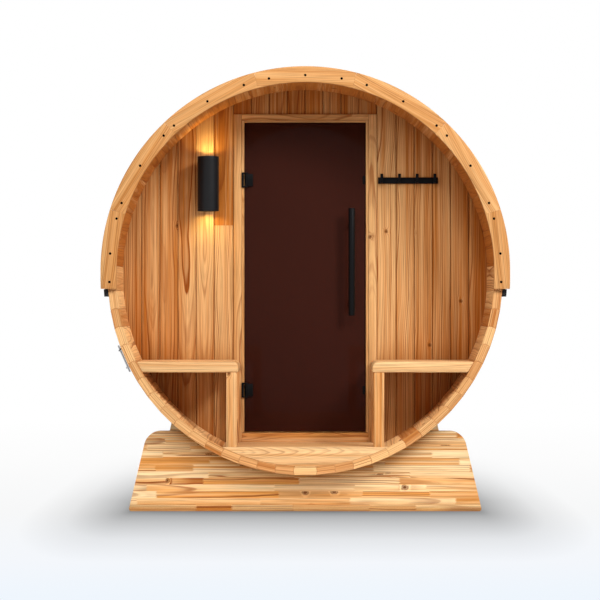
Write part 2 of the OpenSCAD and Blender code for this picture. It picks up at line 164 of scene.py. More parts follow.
def turned(built, profile, centre, right, ahead, axis, sides):
    """Turns a profile of (radius, height) round an axis. Gives the last ring of vertices."""
    rings = []
    for r, h in profile:
        turns = [2 * pi * k / sides for k in range(sides if r > 1e-6 else 1)]
        rings.append([built.verts.new([c + u * r * cos(t) + v * r * sin(t) + w * h
                                       for c, u, v, w in zip(centre, right, ahead, axis)])
                      for t in turns])
    for a, b in zip(rings, rings[1:]):
        for k in range(sides):
            j = (k + 1) % sides
            corners = []
            for ring, i in ((a, k), (a, j), (b, j), (b, k)):
                v = ring[i % len(ring)]
                if v not in corners:
                    corners.append(v)
            if len(corners) > 2:
                built.faces.new(corners)
    return rings[-1]


def ring_faces(rings, base, faces):
    """Joins equal rings of points to a closed tube with flat ends."""
    n = len(rings[0])
    last = base + (len(rings) - 1) * n
    for a in range(base, last, n):
        for j in range(n):
            k = (j + 1) % n
            faces.append((a + j, a + k, a + n + k, a + n + j))
    faces.append(tuple(range(base + n - 1, base - 1, -1)))
    faces.append(tuple(range(last, last + n)))


class Timber:
    """Collects boards into one mesh. Each board has its own grain coordinates and tone."""

    def __init__(self, seed):
        self.random = random.Random(seed)
        self.points, self.faces, self.grain, self.tone = [], [], [], []

    def add(self, rings, along, across, tone=None, pith=None):
        """rings are lists of world points, and along and across are the plank's axes."""
        ring_faces(rings, len(self.points), self.faces)
        self.label([p for ring in rings for p in ring], along, across, tone, pith)

    def label(self, points, along, across, tone=None, pith=None):
        """Gives points the grain of one board, sawn at a random place in a tree."""
        rng = self.random
        depth = along.cross(across)
        middle = sum(points, Vector()) / len(points)
        if pith is None:
            # most boards are flat sawn, and some have their rings upright
            turn = rng.choice([0, 0, 0, 1, 2]) * 0.6 + rng.uniform(-0.3, 0.3)
            pith = (rng.uniform(0.045, 0.12), turn)
        side = sin(pith[1]) * pith[0]
        under = cos(pith[1]) * pith[0] * rng.choice([-1, 1])
        start = rng.uniform(0, 50)
        if tone is None:
            tone = rng.random()
        for p in points:
            d = p - middle
            self.points.append(p)
            self.grain.append((d.dot(along) + start, d.dot(across) + side, d.dot(depth) + under))
            self.tone.append(tone)

    def finish(self, name, slot, sharp=35):
        """The boards as one piece, in the material of a slot."""
        mesh = bpy.data.meshes.new(name)
        mesh.from_pydata(self.points, [], self.faces)
        write_grain(mesh, self.grain, self.tone)
        return make_object(name, mesh, BOARDS[slot], sharp=sharp)


def write_grain(mesh, grain, tone):
    """Stores what the wood materials read at each point."""
    mesh.attributes.new("grain", "FLOAT_VECTOR", "POINT").data.foreach_set(
        "vector", np.array(grain, np.float32).ravel())
    mesh.attributes.new("tone", "FLOAT", "POINT").data.foreach_set(
        "value", np.array(tone, np.float32))


X, Y, Z = Vector((1, 0, 0)), Vector((0, 1, 0)), Vector((0, 0, 1))


def fit_circle(points):
    """The centre and radius of the circle through [x, z] points."""
    x, z = points[:, 0], points[:, 1]
    a = np.c_[2 * x, 2 * z, np.ones(len(x))]
    cx, cz, c = np.linalg.lstsq(a, x * x + z * z, rcond=None)[0]
    return cx, cz, sqrt(c + cx * cx + cz * cz)


# ---- the frame's main sizes


def y_range(node):
    """Where a node starts and ends along Y."""
    low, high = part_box(node)
    return low.y, high.y


def z_ranges(node):
    """Where each solid of a node starts and ends along Z, from the lowest up."""
    return sorted((s[:, 2].min(), s[:, 2].max()) for s in solids(node))


def flat_corners(solid):
    """The four [x, z] corners of a stave's section."""
    return np.unique(solid[:, [0, 2]].round(5), axis=0)


BARREL_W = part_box("staves_right_2")[1].x
rough_hub = np.array([0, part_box("staves_bottom")[0].z + BARREL_W])


def outer_first(corners, hub):
    """A stave's corners as outer low, outer high, inner low, inner high, counted up the side."""
    def distance(corner):
        return -np.hypot(*(corner - hub))

    def height(corner):
        return abs(corner[0]) if corner[1] < hub[1] else 2 - abs(corner[0])

    far = sorted(corners, key=distance)
    return sorted(far[:2], key=height) + sorted(far[2:], key=height)


bottom_corners = [outer_first(flat_corners(s), rough_hub) for s in solids("staves_bottom")]
_, HUB_Z, BARREL_R = fit_circle(np.array([c for four in bottom_corners for c in four[:2]]))
_, _, INNER_R = fit_circle(np.array([c for four in bottom_corners for c in four[2:]]))
CROWN_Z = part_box("staves_left_4")[1].z - BARREL_R
Y0, Y1 = y_range("staves_bottom")


def rim_height(x, radius, upper):
    """Height of the barrel's outline of a radius at x, on its upper or lower side."""
    rise = sqrt(max(radius * radius - x * x, 0))
    return CROWN_Z + rise if upper else HUB_Z - rise


def rim_point(angle, radius):
    """A point [x, z] of the outline, at an angle from the bottom."""
    hub = CROWN_Z if abs(angle) > pi / 2 else HUB_Z
    return radius * sin(angle), hub - radius * cos(angle)


# ---- materials


class Graph:
    """A short way to write the node tree of a material or a world."""

    def __init__(self, name, owners=bpy.data.materials, shader="BsdfPrincipled",
                 output="OutputMaterial"):
        self.owner = owners.new(name)
        self.owner.use_nodes = True
        self.tree = self.owner.node_tree
        self.tree.nodes.clear()
        self.shader = self.add(shader)
        self.output = self.add(output)
        self.put(self.output.inputs["Surface"], self.shader.outputs[0])

    def add(self, kind, inputs=None, **settings):
        """A node with some of its settings, and values or links for some of its inputs."""
        node = self.tree.nodes.new("ShaderNode" + kind)
        for key, value in settings.items():
            setattr(node, key, value)
        for key, value in (inputs or {}).items():
            self.put(node.inputs[key], value)
        return node

    def put(self, socket, value):
        """Links a socket to a node's output, or gives it a plain value."""
        if isinstance(value, bpy.types.NodeSocket):
            self.tree.links.new(value, socket)
        elif socket.type == "RGBA":
            socket.default_value = (*value, 1)
        else:
            socket.default_value = value

    def set(self, **values):
        """Sets inputs of the shader, named with _ for a space."""
        for key, value in values.items():
            self.put(self.shader.inputs[key.replace("_", " ")], value)

    def math(self, operation, a, b=0.0, c=0.0, clamp=False):
        inputs = {0: a, 1: b, 2: c}
        return self.add("Math", inputs, operation=operation, use_clamp=clamp).outputs[0]

    def times(self, a, b):
        return self.math("MULTIPLY", a, b)

    def affine(self, a, b, c, clamp=False):
        """a times b, plus c."""
        return self.math("MULTIPLY_ADD", a, b, c, clamp)

    def hypotenuse(self, a, b):
        return self.math("SQRT", self.math("ADD", self.times(a, a), self.times(b, b)))

    def combine(self, x, y, z):
        return self.add("CombineXYZ", {0: x, 1: y, 2: z}).outputs[0]

    def split(self, value):
        return self.add("SeparateXYZ", {0: value}).outputs

    def attribute(self, name, output):
        return self.add("Attribute", attribute_name=name).outputs[output]

    def place(self):
        return self.add("TexCoord").outputs["Object"]

    def noise(self, vector, scale, detail, roughness=0.5):
        inputs = {"Vector": vector, "Scale": scale, "Detail": detail, "Roughness": roughness}
        return self.add("TexNoise", inputs).outputs["Fac"]

    def curve(self, value, stops):
        """A number mapped through (position, value) stops."""
        return self.ramp(value, [(p, (v, v, v)) for p, v in stops])

    def ramp(self, value, stops):
        """A number mapped through (position, colour) stops."""
        node = self.add("ValToRGB", {0: value})
        elements = node.color_ramp.elements
        while len(elements) < len(stops):
            elements.new(0.5)
        for element, (position, colour) in zip(elements, stops):
            element.position = position
            element.color = (*colour, 1)
        return node.outputs[0]

    def mix(self, factor, a, b, blend="MIX"):
        inputs = {0: factor, 6: a, 7: b}
        return self.add("Mix", inputs, data_type="RGBA", blend_type=blend).outputs[2]

    def tint(self, colour, by):
        return self.mix(1.0, colour, by, "MULTIPLY")

    def near_to(self, distance, samples):
        """1 in the open, and less where something is nearer than a distance."""
        inputs = {"Distance": distance}
        return self.add("AmbientOcclusion", inputs, samples=samples).outputs["AO"]

    def bump(self, height, strength, distance):
        inputs = {"Strength": strength, "Distance": distance, "Height": height}
        self.set(Normal=self.add("Bump", inputs).outputs[0])


LINE = (0.27, 0.068, 0.011)   # the dark line that ends a growth ring
FINE_RING = 3.1 * MM


def wood(name, pale, deep, ring, contrast, knots, tone_spread, wander=1.0, figure=1.0, knot=1.0,
         fibres=1.0, painted_shade_reach=0.0, painted_shade_strength=1.0):
    """Softwood cut from a tree: growth rings round a wandering pith, fibres and small knots.

    ring is a growth ring's width, knots the share of places that hold one and knot its size.
    tone_spread, wander, figure and fibres set how far boards differ, how far the pith wanders,
    and how strong streaks and fibres are. The last two set how far from a corner painted shade
    darkens the wood, and how much.
    """
    g = Graph(name)
    along, across, depth = g.split(g.attribute("grain", "Vector"))

    def spot(u, v, offset=0.0):
        """A place for a noise, stretched along the grain."""
        return g.combine(g.affine(along, u, offset), g.times(across, v), g.times(depth, v))

    def centred(value):
        return g.math("SUBTRACT", value, 0.5)

    # the tree tapers and its pith wanders, which draws the pointed arches on a flat-sawn face
    drift = g.noise(spot(1.6, 2.0), 1.0, 1.5), g.noise(spot(1.6, 2.0, 17.3), 1.0, 1.0)
    a = g.affine(centred(drift[0]), 0.07 * wander, across)
    d = g.affine(centred(drift[1]), 0.05 * wander, depth)
    radius = g.affine(along, 0.022 * wander, g.hypotenuse(a, d))

    # knots bend the rings round them
    ragged = g.times(centred(g.noise(spot(70.0, 110.0), 1.0, 2.0)), 0.09)
    place = g.combine(g.affine(along, 7.5, ragged), g.affine(across, 9.5, ragged), 0.0)
    cells = g.add("TexVoronoi", {"Vector": place, "Scale": 1.0},
                  voronoi_dimensions="2D")
    away = cells.outputs["Distance"]
    present = g.math("LESS_THAN", g.split(cells.outputs["Color"])[0], knots)
    near = g.math("SUBTRACT", 1.0, g.times(away, 3.6), clamp=True)
    bulge = g.times(g.times(near, near), present)
    radius = g.affine(bulge, 0.014, radius)

    # rings: a pale face that darkens to a line, each with its own strength
    ripple = 0.0025 + 0.0035 * wander
    radius = g.affine(g.noise(spot(4.0, 28.0), 1.0, 2.0), ripple, radius)
    count = g.math("FLOOR", g.math("DIVIDE", radius, ring))
    fraction = g.math("FRACT", g.math("DIVIDE", radius, ring))
    late = g.curve(fraction, [(0.0, 0.35), (0.1, 0.0), (0.4, 0.05), (0.68, 0.4), (0.86, 1.0),
                              (0.96, 0.9), (1.0, 0.35)])
    chance = g.add("TexWhiteNoise", {"W": count}, noise_dimensions="1D")
    chance = g.curve(chance.outputs["Value"], [(0.0, 0.2), (0.4, 0.4), (0.75, 0.75), (1.0, 1.0)])
    late = g.times(late, chance)
    fine = g.math("SINE", g.times(radius, 2 * pi / FINE_RING))
    late = g.affine(fine, 0.09, late, clamp=True)

    # fibres, streaks along the grain and zones that follow the rings
    fibre = g.noise(spot(3.5, 190.0), 1.0, 3.0, 0.65)
    streak = g.noise(spot(0.8, 60.0), 1.0, 2.0)
    zone = g.noise(g.combine(g.times(radius, 38.0), g.times(along, 0.6), 0.0), 1.0, 1.0)
    base = g.affine(centred(g.attribute("tone", "Fac")), tone_spread, 0.45)
    base = g.affine(centred(zone), 1.8 * figure, base)
    base = g.affine(centred(streak), 2.2 * figure, base, clamp=True)
    colour = g.mix(base, pale, deep)
    colour = g.mix(g.math("MULTIPLY", late, 0.75 * contrast, clamp=True), colour, LINE)
    shade = g.curve(fibre, [(0.25, 1 - 0.4 * fibres), (0.5, 1.0), (0.75, 1 + 0.15 * fibres)])
    colour = g.tint(colour, shade)
    core = g.curve(g.times(away, 1 / knot),
                   [(0.0, 0.95), (0.055, 0.95), (0.075, 0.5), (0.11, 0.7), (0.15, 0.0)])
    core = g.times(present, core)
    colour = g.mix(core, colour, tuple(c * 0.5 for c in LINE))
    if painted_shade_reach:
        # painted shade: darker and warmer in the corners and under things, standing in for shade
        # and the light that bounces between boards
        shade = g.curve(g.near_to(painted_shade_reach, 8), [(0.3, 0.3), (0.6, 0.6), (0.85, 0.95), (1.0, 1.0)])
        shade = g.affine(shade, painted_shade_strength, 1.0 - painted_shade_strength)
        warm = g.combine(shade, g.math("POWER", shade, 1.4), g.math("POWER", shade, 2.0))
        colour = g.tint(colour, warm)
    g.set(Base_Color=colour, Roughness=g.curve(late, [(0.0, 0.58), (1.0, 0.48)]),
          Specular_IOR_Level=0.06)
    g.bump(g.affine(fibre, 0.5, g.times(late, -0.6)), 0.35, 0.6 * MM)
    return g.owner


def painted(name, colour, roughness, shine):
    """Powder coat: a fine even texture."""
    g = Graph(name)
    place = g.place()
    speck = g.noise(place, 900.0, 2.0, 0.6)
    smudge = g.noise(place, 14.0, 3.0)
    darker, lighter = tuple(c * 0.85 for c in colour), tuple(c * 1.2 for c in colour)
    g.set(Base_Color=g.mix(smudge, darker, lighter),
          Roughness=g.curve(smudge, [(0.3, roughness - 0.05), (0.7, roughness + 0.05)]),
          Specular_IOR_Level=shine)
    g.bump(speck, 0.25, 0.15 * MM)
    return g.owner


def galvanised(name, colour, roughness):
    """Steel strip with a dull zinc coat, brushed along the barrel's length."""
    g = Graph(name)
    x, y, z = g.split(g.place())
    lines = g.noise(g.combine(g.times(x, 30.0), g.times(y, 1500.0), g.times(z, 30.0)), 1.0, 2.0)
    g.set(Base_Color=g.mix(lines, tuple(c * 0.8 for c in colour), colour),
          Roughness=g.curve(lines, [(0.3, roughness - 0.06), (0.7, roughness + 0.1)]),
          Metallic=0.55)
    g.bump(lines, 0.1, 0.1 * MM)
    return g.owner


def mineral(name):
    """Bitumen shingles with a coat of dark mineral granules."""
    g = Graph(name)
    cells = g.add("TexVoronoi", {"Vector": g.place(), "Scale": 420.0})
    chance = g.split(cells.outputs["Color"])[0]
    grey = g.ramp(chance, [(0.0, (0.005, 0.005, 0.006)), (0.6, (0.013, 0.013, 0.014)),
                           (0.9, (0.035, 0.035, 0.037)), (1.0, (0.08, 0.08, 0.083))])
    shade = g.curve(g.attribute("tone", "Fac"), [(0.0, 0.7), (1.0, 1.25)])
    g.set(Base_Color=g.tint(grey, shade), Roughness=0.88, Specular_IOR_Level=0.2)
    g.bump(cells.outputs["Distance"], 0.6, 0.8 * MM)
    return g.owner


def tinted_glass(name):
    """Dark bronze glass that lets a little light through."""
    g = Graph(name)
    x, y, z = g.split(g.place())
    haze = g.noise(g.combine(g.times(x, 1.2), y, g.times(z, 0.9)), 1.0, 1.0)
    g.set(Base_Color=g.mix(haze, (0.030, 0.0080, 0.0050), (0.044, 0.0105, 0.0065)),
          Roughness=0.04, Specular_IOR_Level=0.03, Alpha=0.95)
    return g.owner


def glowing(name, colour, strength):
    """A lit lens of frosted glass."""
    g = Graph(name)
    frost = g.noise(g.place(), 60.0, 2.0)
    g.set(Base_Color=g.mix(frost, (0.8, 0.75, 0.65), (0.9, 0.86, 0.78)), Roughness=0.6,
          Emission_Color=colour, Emission_Strength=strength)
    return g.owner


# pale and deep wood colours, then the settings of wood()
WOOD_LOOKS = {
    "stave_wood": ((0.84, 0.50, 0.22), (0.45, 0.15, 0.03), dict(
        ring=6.5 * MM, contrast=1.2, knots=0.04, tone_spread=1.1, figure=0.6, wander=0.4,
        fibres=0.6)),
    # painted shade darkens the wall boards near the staves, the door frame, the benches and the
    # lamp
    "wall_wood": ((0.69, 0.39, 0.165), (0.46, 0.15, 0.024), dict(
        ring=7.5 * MM, contrast=1.6, knots=0.045, knot=0.6, tone_spread=0.85, wander=0.6,
        painted_shade_reach=160 * MM, painted_shade_strength=0.45)),
    "trim_wood": ((0.73, 0.42, 0.18), (0.48, 0.19, 0.045), dict(
        ring=7 * MM, contrast=1.0, knots=0.03, knot=0.6, tone_spread=0.6, figure=0.6)),
    "floor_wood": ((0.85, 0.54, 0.27), (0.58, 0.25, 0.065), dict(
        ring=4.5 * MM, contrast=0.9, knots=0.03, tone_spread=0.7, wander=1.3)),
    "bench_wood": ((0.88, 0.56, 0.27), (0.60, 0.22, 0.045), dict(
        ring=5.5 * MM, contrast=1.25, knots=0.03, knot=0.6, tone_spread=0.8, wander=0.8)),
    # painted shade darkens the cradles where the barrel sits close above them
    "cradle_wood": ((0.82, 0.60, 0.335), (0.65, 0.28, 0.066), dict(
        ring=5.5 * MM, contrast=1.6, knots=0.12, tone_spread=1.15, wander=0.35, painted_shade_reach=70 * MM)),
}
BOARDS = {name: wood(name, pale, deep, **settings)
          for name, (pale, deep, settings) in WOOD_LOOKS.items()}
BOARDS["roofing"] = mineral("roofing")
BLACK = painted("black_metal", (0.0045, 0.0045, 0.005), 0.5, shine=0.06)
BLACK_GLOSS = painted("black_handle", (0.004, 0.004, 0.0045), 0.42, shine=0.09)
LAMP_BLACK = painted("lamp_black", (0.009, 0.009, 0.010), 0.36, shine=0.14)
SCREW = painted("black_screw", (0.002, 0.002, 0.002), 0.8, shine=0.02)
STEEL = galvanised("steel", (0.58, 0.59, 0.61), 0.42)
GLASS = tinted_glass("tinted_glass")
LENS = glowing("lamp_lens", (1.0, 0.62, 0.22), 9.0)

# ---- barrel


def arc_between(a, b, height):
    """Points from a to b along an arc that stands out by height on the left of a to b."""
    way = b - a
    out = Vector((-way.y, way.x)).normalized()
    return [a.lerp(b, t) + out * height * 4 * t * (1 - t) for t in (0.25, 0.5, 0.75)]


def softened(corner, before, after, r):
    """A corner cut round by two points."""
    a = (before - corner).normalized() * r
    b = (after - corner).normalized() * r
    return [corner + a, corner + (a + b) * 0.25, corner + b]


def stave_section(four, low_joint, high_joint):
    """The [x, z] outline of a stave. A joint is a bead (1), a cove (-1) or flat (0)."""
    ol, oh, il, ih = (Vector(c) for c in four)
    side = 1 if (oh - ol).cross(il - ol) > 0 else -1
    section = softened(ol, il, oh, STAVE_EDGE) + softened(oh, ol, ih, STAVE_EDGE)
    section += arc_between(oh, ih, STAVE_BEAD * high_joint * -side)
    section += softened(ih, oh, il, STAVE_EDGE * 0.7) + softened(il, ih, ol, STAVE_EDGE * 0.7)
    section += arc_between(il, ol, STAVE_BEAD * low_joint * -side)
    return section


def extruded(section, places):
    """Rings of an [x, z] section at places along Y."""
    return [[Vector((x, y, z)) for x, z in section] for y in places]


def prism_rings(section, y0, y1, chamfer):
    """Rings along Y for an [x, z] section, with softened ends."""
    centre = sum(section, Vector((0, 0))) / len(section)
    size = max((p - centre).length for p in section)
    inset = 1 - chamfer / size
    rings = []
    for y, k in ((y0, inset), (y0 + chamfer, 1), (y1 - chamfer, 1), (y1, inset)):
        rings += extruded([centre + (p - centre) * k for p in section], [y])
    return rings


def build_staves():
    """Each stave with its bead and cove. The bottom one, the key, has a bead on both sides."""
    for node in [n for n in frame["nodes"] if n.startswith("staves_")]:
        timber = Timber(node)
        for solid in solids(node):
            four = outer_first(flat_corners(solid), np.array([0, (HUB_Z + CROWN_Z) / 2]))
            key = abs(solid[:, 0].sum()) < 1e-4
            top = np.abs(solid[:, 0]).min() < MM and solid[:, 2].min() > HUB_Z
            if key:
                left, right = (sorted(four[i:i + 2], key=lambda c: c[0]) for i in (0, 2))
                four = left + right
            section = stave_section(four, 1 if key else -1, 0 if top else 1)
            across = Vector((four[1][0] - four[0][0], 0, four[1][1] - four[0][1])).normalized()
            # the staves above the middle, whose inner faces make the porch's shaded ceiling, get
            # deeper tones than the ones below: painted shade
            low, high = (0.85, 1.2) if solid[:, 2].min() > HUB_Z else (0.0, 0.75)
            tone = -0.1 if key else timber.random.uniform(low, high)
            timber.add(prism_rings(section, Y0, Y1, STAVE_END), Y, across, tone=tone,
                       pith=(timber.random.uniform(0.05, 0.14), timber.random.uniform(-0.4, 0.4)))
            ring_ends(timber, len(section), across)
        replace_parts(timber.finish(node + "_boards", "stave_wood"), node)


def ring_ends(timber, n, across):
    """Turns the grain on a stave's two ends, where its rings show as long lines."""
    outward = Y.cross(across)
    start, lift = timber.random.uniform(0, 50), timber.random.uniform(0.03, 0.09)
    last = len(timber.points)
    for first in (last - 4 * n, last - n):
        middle = sum(timber.points[first:first + n], Vector()) / n
        for k in range(first, first + n):
            d = timber.points[k] - middle
            timber.grain[k] = (d.dot(across) + start, d.dot(outward) + lift, 0.05)


def build_bands():
    """The steel bands round the staves."""
    for node in ("band_front", "band_middle", "band_rear"):
        metal_copy(node, STEEL, 0.4 * MM)


# ---- arches

ARCH_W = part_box("arch_front")[1].z - CROWN_Z - INNER_R
ARCH_STEPS = 24
ARCH_GAP = 0.05 * MM / INNER_R     # radians left free at each end of a board
ARCH_DIP = 0.5 * MM                # how far a board's face turns in at its ends
NEAR_END = 2 / 460                 # share of a board's length in which it does
SCREWS = (0, 10.7, 18.3, 30, 42.1, 46.3, 57.5, 69.7, 74.5, 84.9, 91.2)  # degrees from the top


def build_arch(node):
    """The curved boards over the stave ends."""
    timber = Timber(node)
    y0, y1 = y_range(node)
    face = y0 if y0 < 0 else y1
    inward = 1 if y0 < 0 else -1
    depth = y1 - y0
    foot_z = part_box(node)[0].z
    # the radial section: two softened edges on the face, square edges behind
    outer, e = INNER_R + ARCH_W, ARCH_EDGE
    section = [(INNER_R, 1), (INNER_R, e / depth), (INNER_R + e * 0.3, e * 0.3 / depth),
               (INNER_R + e, 0), (outer - e, 0), (outer - e * 0.3, e * 0.3 / depth),
               (outer, e / depth), (outer, 1)]
    for solid in solids(node):
        angles = np.arctan2(solid[:, 0], solid[:, 2] - CROWN_Z)
        low, high = angles.min(), angles.max()
        foot = solid[:, 2].min() < foot_z + 1e-4
        rings = []
        stops = [0, NEAR_END] + [k / ARCH_STEPS for k in range(1, ARCH_STEPS)] + [1 - NEAR_END, 1]
        for share in stops:
            ring = []
            dip = ARCH_DIP / depth if share in (0, 1) else 0
            for r, t in section:
                t = max(t, dip)
                if foot:
                    # the lowest boards end level, on the lower half circle
                    side = 1 if high > 0 else -1
                    end = acos((foot_z - HUB_Z) / r)
                    start = min(abs(low), abs(high)) + ARCH_GAP
                    turn = start + (end - start) * share
                    x, z = rim_point(side * (pi - turn), r)
                else:
                    turn = low + ARCH_GAP + (high - low - 2 * ARCH_GAP) * share
                    x, z = r * sin(turn), CROWN_Z + r * cos(turn)
                ring.append(Vector((x, face + inward * depth * t, z)))
            rings.append(ring)
        middle = (low + high) / 2
        along = Vector((cos(middle), 0, -sin(middle)))
        across = Vector((sin(middle), 0, cos(middle)))
        timber.add(rings, along, across, tone=timber.random.uniform(0.4, 0.95),
                   pith=(timber.random.uniform(0.06, 0.11), 1.07))
    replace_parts(timber.finish(node + "_boards", "trim_wood"), node)
    build_screws(node + "_screws", face, inward)


def build_screws(name, face, inward):
    """Black screw heads along the arch, a little proud of its face, each with its recess."""
    built = bmesh.new()
    middle = INNER_R + ARCH_W * 0.43
    profile = ((SCREW_R, 0.3 * MM), (SCREW_R, -0.4 * MM), (SCREW_R * 0.9, -0.8 * MM),
               (SCREW_R * 0.45, -0.8 * MM), (SCREW_R * 0.38, -0.2 * MM))
    for degrees in SCREWS:
        for side in ((1, -1) if degrees else (1,)):
            x, z = rim_point(side * radians(180 - degrees), middle)
            built.faces.new(turned(built, profile, (x, face, z), X, Z, Y * inward, SCREW_SIDES))
    bmesh.ops.recalc_face_normals(built, faces=built.faces)
    make_object(name, to_mesh(name, built), SCREW)


# ---- end walls

WALL_REACH = INNER_R + CROZE
WALL_EDGE = WALL_REACH - MM
# pale boards beside the door and darker boards towards the staves
WALL_TONES = {-1: (-0.3, 0.15, 0.5, 0.6, 0.45, 0.45, 0.4, 0.4),
              1: (0.1, 0.4, 0.65, 0.5, 0.8, 0.9, 0.9, 0.8)}
UPRIGHT_RINGS = 1.3        # radians from the pith of a board whose rings stand upright
OVER_DOOR_BOARDS = 8


def wall_low(x):
    return rim_height(x, WALL_REACH, False)


def wall_high(x):
    return rim_height(x, WALL_REACH, True)


def level(z):
    """The end of a board that is cut level at a height."""
    return lambda x: z


def wall_board(timber, x0, x1, y_face, y_back, low=wall_low, high=wall_high, **grain):
    """An upright board with V edges. low and high give its ends' heights at x."""
    x0, x1 = x0 + BOARD_CLEAR, x1 - BOARD_CLEAR
    way = 1 if y_back > y_face else -1
    v, g = BOARD_V, BOARD_GAP
    cuts = 12
    front = [x0 + v + (x1 - x0 - 2 * v) * i / cuts for i in range(cuts + 1)]
    v_bottom, shoulder, back = y_face + way * v, y_face + way * 3 * v, y_back - way * v * 0.6
    section = [(x0, shoulder), (x0 + g, shoulder), (x0 + g, v_bottom)]
    section += [(x, y_face) for x in front]
    section += [(x1 - g, v_bottom), (x1 - g, shoulder), (x1, shoulder), (x1, back)]
    section += [(x, y_back) for x in reversed(front)] + [(x0, back)]
    rings = [[Vector((x, y, end(x))) for x, y in section] for end in (low, high)]
    timber.add(rings, -Z, X, **grain)


def board_joints(first, last):
    """Joints of the wall boards from first to last, with no sliver at the end."""
    joints = [first]
    while joints[-1] + BOARD_PITCH < last - 15 * MM:
        joints.append(joints[-1] + BOARD_PITCH)
    return joints + [last]


def build_front_wall():
    """The boards on both sides of the door, and over and under it."""
    faces = y_range("front_wall_left")
    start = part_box("front_wall_right")[0].x
    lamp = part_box("wall_lamp")
    # the board beside the lamp is made of two lengths, joined a little under the lamp
    join = lamp[0].z - 0.25 * (lamp[1].z - lamp[0].z)
    for side, node in ((-1, "front_wall_left"), (1, "front_wall_right")):
        timber = Timber(node)
        joints = [start] + board_joints(BOARD_FIRST + BOARD_PITCH, WALL_EDGE)
        for a, b, tone in zip(joints, joints[1:], WALL_TONES[side]):
            x0, x1 = sorted((side * a, side * b))
            # flat-sawn boards on the left, boards with upright rings on the right
            turn = timber.random.uniform(-0.35, 0.35)
            turn += UPRIGHT_RINGS if side > 0 or a > 0.7 else 0
            pith = timber.random.uniform(0.05, 0.1), turn
            if side < 0 and a == start:
                wall_board(timber, x0, x1, *faces, high=level(join - BOARD_CLEAR), tone=tone,
                           pith=(pith[0], 1.4))
                wall_board(timber, x0, x1, *faces, low=level(join), tone=0.95, pith=pith)
            else:
                wall_board(timber, x0, x1, *faces, tone=tone, pith=pith)
        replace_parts(timber.finish(node + "_boards", "wall_wood"), node)
    for node, over in (("front_wall_over_door", True), ("front_wall_under_door", False)):
        timber = Timber(node)
        low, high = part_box(node)
        ends = (level(low.z), wall_high) if over else (wall_low, level(high.z))
        width = (high.x - low.x) / OVER_DOOR_BOARDS
        for i in range(OVER_DOOR_BOARDS):
            x0 = low.x + width * i
            wall_board(timber, x0, x0 + width, *faces, *ends, tone=timber.random.uniform(0.4, 1))
        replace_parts(timber.finish(node + "_boards", "wall_wood"), node)


def build_rear_wall():
    """Plain upright boards from side to side, with their good face outside."""
    timber = Timber("rear")
    inside, outside = y_range("rear_wall")
    joints = board_joints(-WALL_EDGE, WALL_EDGE)
    for a, b in zip(joints, joints[1:]):
        wall_board(timber, a, b, outside, inside)
    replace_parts(timber.finish("rear_wall_boards", "wall_wood"), "rear_wall")


# ---- joinery


def timber_copy(node, along, across, slot, bevel, tone):
    """A CAD node in timber, with softened edges and one board's grain on each solid."""
    mesh = to_mesh(node, clean_copy(node, bevel))
    boards = Timber(node)
    points = [v.co.copy() for v in mesh.vertices]
    margin = Vector((MM, MM, MM))
    grain = [(0, 0, 0)] * len(points)
    tones = [0.5] * len(points)
    for solid in solids(node):
        low, high = Vector(solid.min(0)) - margin, Vector(solid.max(0)) + margin
        group = [i for i, p in enumerate(points)
                 if all(low[k] <= p[k] <= high[k] for k in range(3))]
        begin = len(boards.grain)
        boards.label([points[i] for i in group], along, across, tone)
        for k, i in enumerate(group):
            grain[i] = boards.grain[begin + k]
            tones[i] = boards.tone[begin + k]
    write_grain(mesh, grain, tones)
    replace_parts(make_object(node + "_timber", mesh, BOARDS[slot]), node)


def planked_copy(node, along, across, slot, gap, bevel, tone):
    """A CAD slab in timber, sawn into boards with a gap between them, each with its own grain."""
    whole = clean_copy(node, bevel)
    low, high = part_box(node)
    first, last = low.dot(across), high.dot(across)
    count = max(round((last - first) / PLANK_W), 1)
    boards = Timber(node)
    for i in range(count):
        board = whole.copy()
        for joint, way in ((i, -1), (i + 1, 1)):
            if joint in (0, count):
                continue
            spot = across * (first + (last - first) * joint / count - way * gap / 2)
            everything = board.verts[:] + board.edges[:] + board.faces[:]
            cut = bmesh.ops.bisect_plane(board, geom=everything, dist=1e-6, plane_co=spot,
                                         plane_no=across * way, clear_outer=True)
            rim = [e for e in cut["geom_cut"] if isinstance(e, bmesh.types.BMEdge)]
            bmesh.ops.holes_fill(board, edges=rim, sides=0)
        board.verts.index_update()
        base = len(boards.points)
        boards.faces += [tuple(base + v.index for v in f.verts) for f in board.faces]
        shade = tone + (boards.random.uniform(-0.15, 0.3) if i else 0)
        boards.label([v.co.copy() for v in board.verts], along, across, shade)
        board.free()
    whole.free()
    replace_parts(boards.finish(node + "_timber", slot), node)


def build_beads():
    """Thin strips in the rebate between the casing and the edge of the glass."""
    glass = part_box("door_glass")
    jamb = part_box("door_jamb_right")
    front, back = jamb[0].y + 2 * MM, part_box("hinge_leaves")[1].y - 0.5 * MM
    inner, outer = glass[1].x + BEAD_CLEAR, glass[1].x + 12.5 * MM
    low, high = glass[0].z - 4 * MM, glass[1].z + 9.5 * MM
    leaves = z_ranges("hinge_leaves")
    timber = Timber("beads")

    def bead(x0, x1, z0, z1, along, across):
        section = [Vector(c) for c in ((x0, z0), (x1, z0), (x1, z1), (x0, z1))]
        timber.add(prism_rings(section, front, back, 0.5 * MM), along, across, tone=0.3)

    bead(inner, outer, low, high, Z, X)
    bottom = low
    for z0, z1 in leaves + [(high + MM, high + MM)]:
        bead(-outer, -inner, bottom, z0 - MM, Z, X)
        bottom = z1 + MM
    bead(glass[0].x - MM, glass[1].x + MM, glass[1].z + BEAD_CLEAR, high, X, Z)
    timber.finish("door_beads", "trim_wood")


